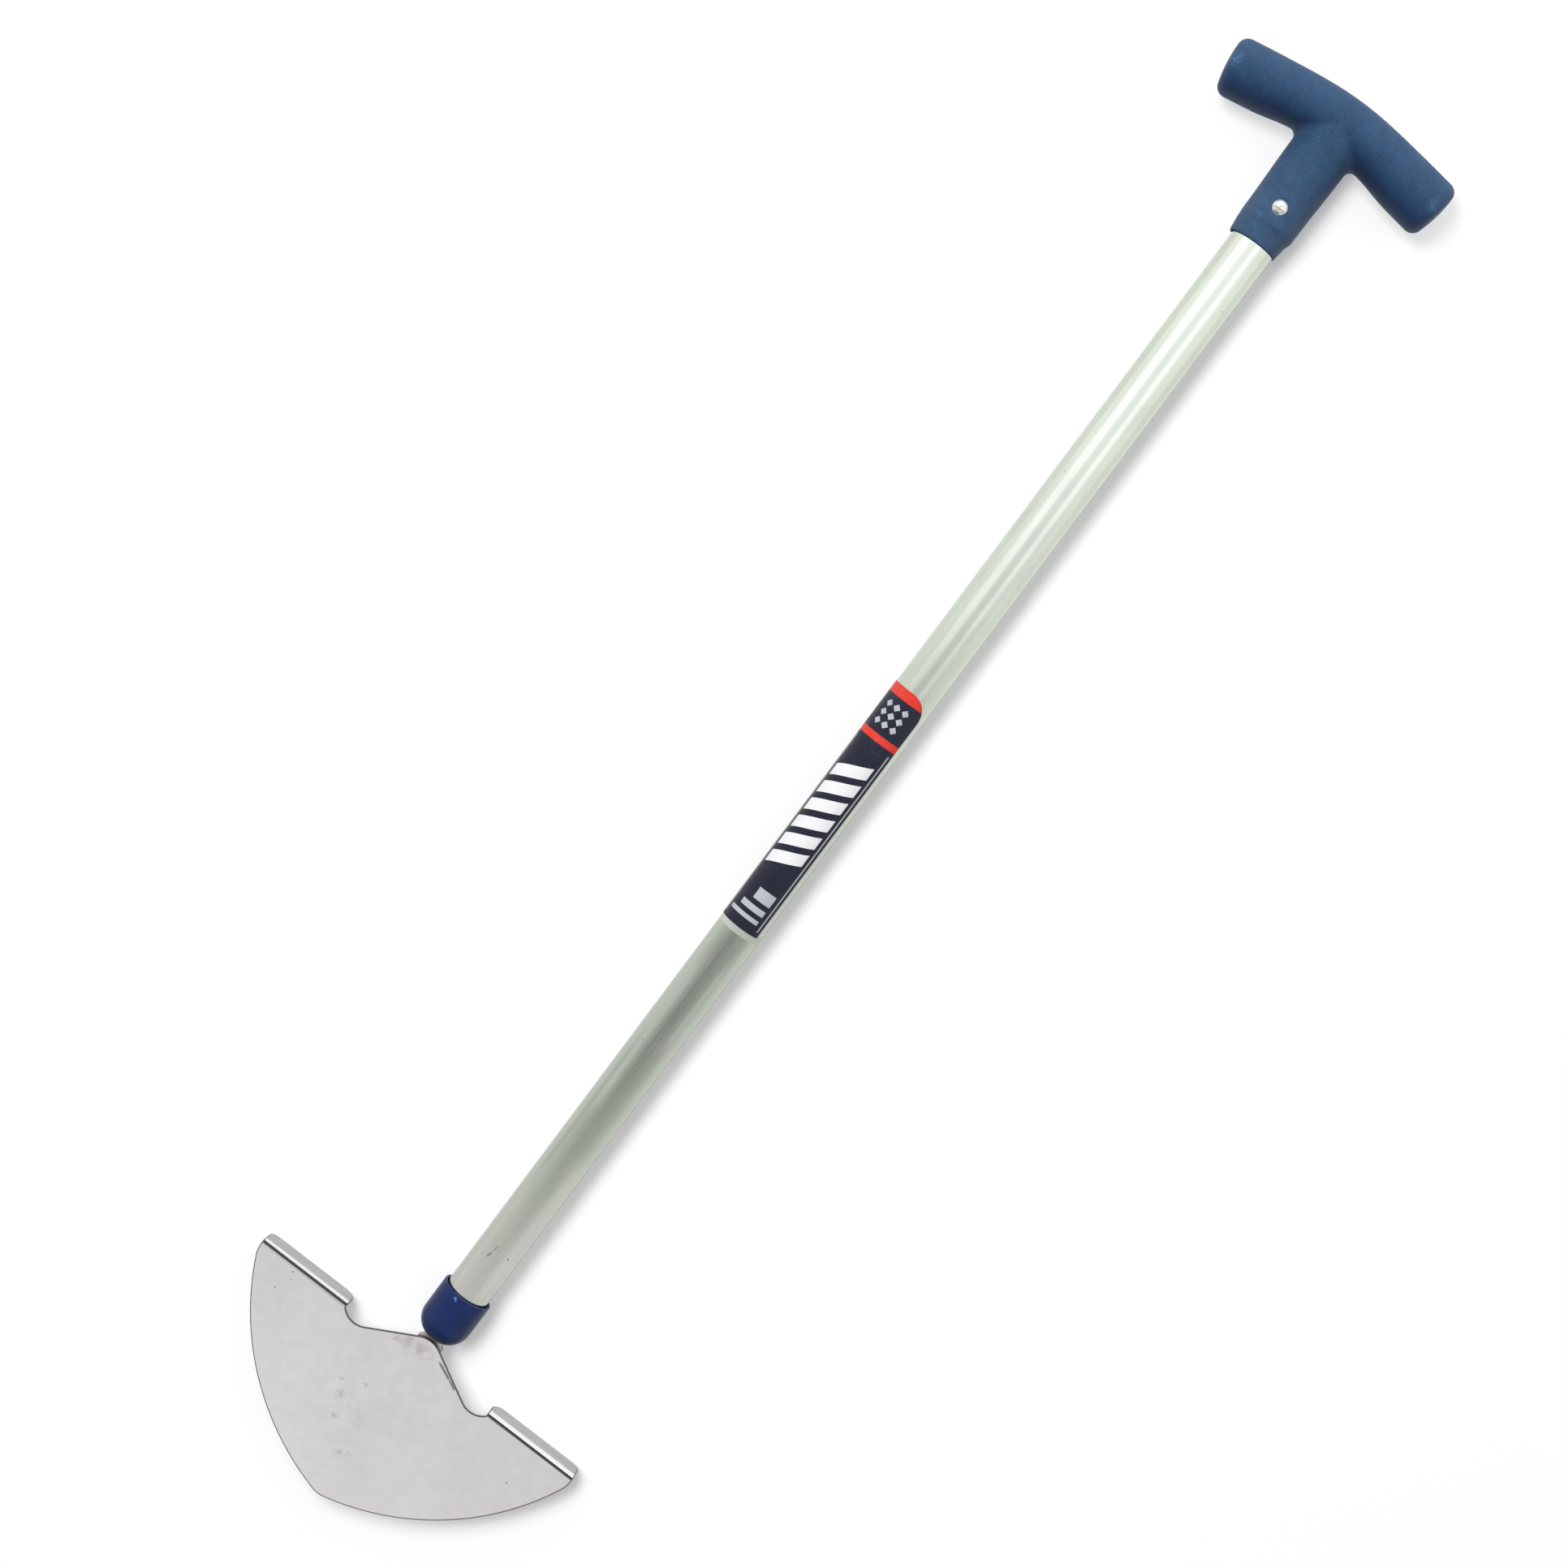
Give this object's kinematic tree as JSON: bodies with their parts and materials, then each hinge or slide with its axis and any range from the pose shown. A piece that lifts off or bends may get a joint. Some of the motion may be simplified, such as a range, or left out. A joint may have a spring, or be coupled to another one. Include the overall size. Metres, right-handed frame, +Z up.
{
  "type": "half moon edger",
  "caption": "Long handled lawn edger with a pointed half moon blade, folded foot treads, a round tube shaft and a moulded T grip.",
  "frame": {"origin": "on the ground, below the middle of the tool's length, on its centre line", "axes": "+X along the shaft from the blade to the grip, +Y to the left of it, +Z up out of the blade's front face"},
  "size_m": [0.933, 0.215, 0.0331],
  "materials": {
    "blade_steel": "polished stainless sheet",
    "tang_steel": "forged and ground",
    "weld_metal": "weld bead",
    "bush_plastic": "moulded",
    "pin_steel": "drawn",
    "collar_plastic": "smooth moulding",
    "tube_metal": "satin drawn tube",
    "label_film": "printed film",
    "grip_plastic": "fine pebbled moulding",
    "rivet_metal": "bright rivet"
  },
  "bodies": {
    "root": {"blade": "blade_steel", "tang": "tang_steel", "tang_welds": "weld_metal", "tang_bush": "bush_plastic", "tang_pin": "pin_steel", "collar": "collar_plastic", "shaft_tube": "tube_metal", "label": "label_film", "handle": "grip_plastic", "handle_rivet": "rivet_metal"}
  },
  "joints": []
}
